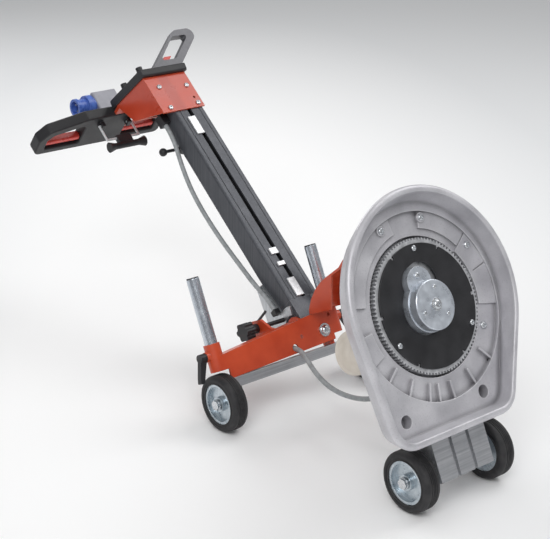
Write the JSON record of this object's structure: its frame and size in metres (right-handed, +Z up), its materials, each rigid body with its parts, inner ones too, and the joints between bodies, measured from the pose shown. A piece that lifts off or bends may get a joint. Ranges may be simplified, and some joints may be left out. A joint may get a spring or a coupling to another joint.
{
  "type": "floor preparation machine",
  "caption": "Single-disc floor grinder parked on its wheels: round cast tool head tipped up, leaning slotted column with an operator handle, orange chassis beam and side motor.",
  "frame": {"origin": "on the floor under the middle of the machine's bounding box", "axes": "+Z up, +Y towards the operator's handle, +X along the wheel axles to the motor's side"},
  "size_m": [0.499, 1.4092, 0.714],
  "materials": {
    "cast_alloy": "cast",
    "black_disc": "satin",
    "gear_steel": "machined",
    "hub_grey": "satin",
    "bright_steel": "bright",
    "motor_grey": "satin",
    "black_plastic": "satin",
    "loop_grey": "satin",
    "bar_alloy": "extruded",
    "tyre_rubber": "matte",
    "rim_silver": "satin",
    "orange_paint": "satin",
    "axle_black": "satin",
    "bar_chrome": "polished",
    "dark_anodised": "anodised",
    "clip_white": "bright",
    "plate_silver": "brushed",
    "red_plastic": "gloss",
    "box_grey": "satin",
    "inlet_blue": "gloss",
    "port_cream": "satin",
    "cable_grey": "satin"
  },
  "bodies": {
    "chassis": {"head_casting": "cast_alloy", "spindle_bearings": "gear_steel", "motor_body": "motor_grey", "motor_cowl": "motor_grey", "pinion_cover": "cast_alloy", "casting_screws": "bright_steel", "junction_box": "black_plastic", "dust_port": "port_cream", "wheel_bracket": "bar_alloy", "axles": "bright_steel", "axle_hardware": "bright_steel", "cross_beam": "orange_paint", "hinge_pin": "bright_steel", "lock_pin": "black_plastic", "cross_bar": "bar_alloy", "axle_blocks": "axle_black", "motor_yoke": "orange_paint", "frame_bolts": "bright_steel", "motor_cable": "cable_grey", "box_gland": "black_plastic"},
    "column": {"column_profile": "dark_anodised", "column_foot": "dark_anodised", "slot_strip": "black_plastic", "slot_clips": "clip_white", "tilt_plate": "plate_silver", "column_glands": "black_plastic", "top_bracket": "orange_paint", "column_fasteners": "bright_steel", "console_slab": "black_plastic", "console_knobs": "black_plastic", "handle_frame": "black_plastic", "switch_box": "box_grey", "power_inlet": "inlet_blue", "upper_loop": "loop_grey", "loop_pad": "red_plastic", "column_cable": "cable_grey"},
    "spindle": {"ring_gear": "gear_steel", "cover_disc": "black_disc", "cover_screws": "bright_steel", "drive_hub": "hub_grey", "hub_bolts": "bright_steel"},
    "motor_rotor": {"motor_pinion": "gear_steel"},
    "left_bar": {"left_pull_bar": "bar_chrome"},
    "right_bar": {"right_pull_bar": "bar_chrome"},
    "left_clamp": {"left_clamp_lever": "black_plastic"},
    "right_clamp": {"right_clamp_lever": "black_plastic"},
    "tilt_knob": {"star_knob": "black_plastic"},
    "left_trigger_body": {"left_trigger": "red_plastic"},
    "right_trigger_body": {"right_trigger": "red_plastic"},
    "bail": {"bail_wire": "bright_steel", "bail_grip": "black_plastic"},
    "ball_lever_body": {"ball_lever": "black_plastic"},
    "front_left_wheel": {"front_left_tyre": "tyre_rubber", "front_left_rim": "rim_silver"},
    "front_right_wheel": {"front_right_tyre": "tyre_rubber", "front_right_rim": "rim_silver"},
    "rear_left_wheel": {"rear_left_tyre": "tyre_rubber", "rear_left_rim": "rim_silver"},
    "rear_right_wheel": {"rear_right_tyre": "tyre_rubber", "rear_right_rim": "rim_silver"}
  },
  "joints": [
    {"name": "column_tilt", "type": "hinge", "parent": "chassis", "child": "column", "pos_m": [0.1035, -0.08868, 0.14249], "axis": [-1, 0, 0], "range_deg": [-2, 28]},
    {"name": "spindle_spin", "type": "hinge", "parent": "chassis", "child": "spindle", "pos_m": [-0.0215, -0.56273, 0.37042], "axis": [0, -0.9012, 0.4333], "continuous": true},
    {"name": "motor_spin", "type": "hinge", "parent": "chassis", "child": "motor_rotor", "pos_m": [0.12846, -0.54531, 0.40663], "axis": [0, -0.9012, 0.4333], "continuous": true},
    {"name": "left_bar_slide", "type": "slide", "parent": "chassis", "child": "left_bar", "axis": [0, 0.4333, 0.9012], "range_m": [0, 0.045]},
    {"name": "right_bar_slide", "type": "slide", "parent": "chassis", "child": "right_bar", "axis": [0, 0.4333, 0.9012], "range_m": [0, 0.045]},
    {"name": "left_clamp_turn", "type": "hinge", "parent": "chassis", "child": "left_clamp", "pos_m": [-0.2115, -0.105, 0.15699], "axis": [-1, 0, 0], "range_deg": [-90, 90]},
    {"name": "right_clamp_turn", "type": "hinge", "parent": "chassis", "child": "right_clamp", "pos_m": [0.1685, -0.105, 0.15699], "axis": [1, 0, 0], "range_deg": [-90, 90]},
    {"name": "tilt_knob_turn", "type": "hinge", "parent": "chassis", "child": "tilt_knob", "pos_m": [-0.0215, -0.04547, 0.15389], "axis": [1, 0, 0], "continuous": true},
    {"name": "left_trigger_squeeze", "type": "slide", "parent": "column", "child": "left_trigger_body", "axis": [0, 0.6384, -0.7697], "range_m": [0, 0.0045], "stiffness_N_per_m": 900, "springref_m": -0.003},
    {"name": "right_trigger_squeeze", "type": "slide", "parent": "column", "child": "right_trigger_body", "axis": [0, 0.6384, -0.7697], "range_m": [0, 0.0045], "stiffness_N_per_m": 900, "springref_m": -0.003},
    {"name": "bail_swing", "type": "hinge", "parent": "column", "child": "bail", "pos_m": [0.0315, 0.57422, 0.4883], "axis": [1, 0, 0], "range_deg": [0, 40]},
    {"name": "ball_lever_turn", "type": "hinge", "parent": "column", "child": "ball_lever_body", "pos_m": [0.0885, 0.36852, 0.46061], "axis": [0, 0.6384, -0.7697], "range_deg": [0, 60]},
    {"name": "front_left_roll", "type": "hinge", "parent": "chassis", "child": "front_left_wheel", "pos_m": [-0.1265, -0.63667, 0.062], "axis": [1, 0, 0], "continuous": true},
    {"name": "front_right_roll", "type": "hinge", "parent": "chassis", "child": "front_right_wheel", "pos_m": [0.0835, -0.63667, 0.062], "axis": [1, 0, 0], "continuous": true},
    {"name": "rear_left_roll", "type": "hinge", "parent": "chassis", "child": "rear_left_wheel", "pos_m": [-0.1925, -0.14513, 0.062], "axis": [1, 0, 0], "continuous": true},
    {"name": "rear_right_roll", "type": "hinge", "parent": "chassis", "child": "rear_right_wheel", "pos_m": [0.2235, -0.14513, 0.062], "axis": [1, 0, 0], "continuous": true}
  ],
  "couplings": [
    {"joint": "motor_spin", "follows": "spindle_spin", "ratio": -5.5263}
  ]
}
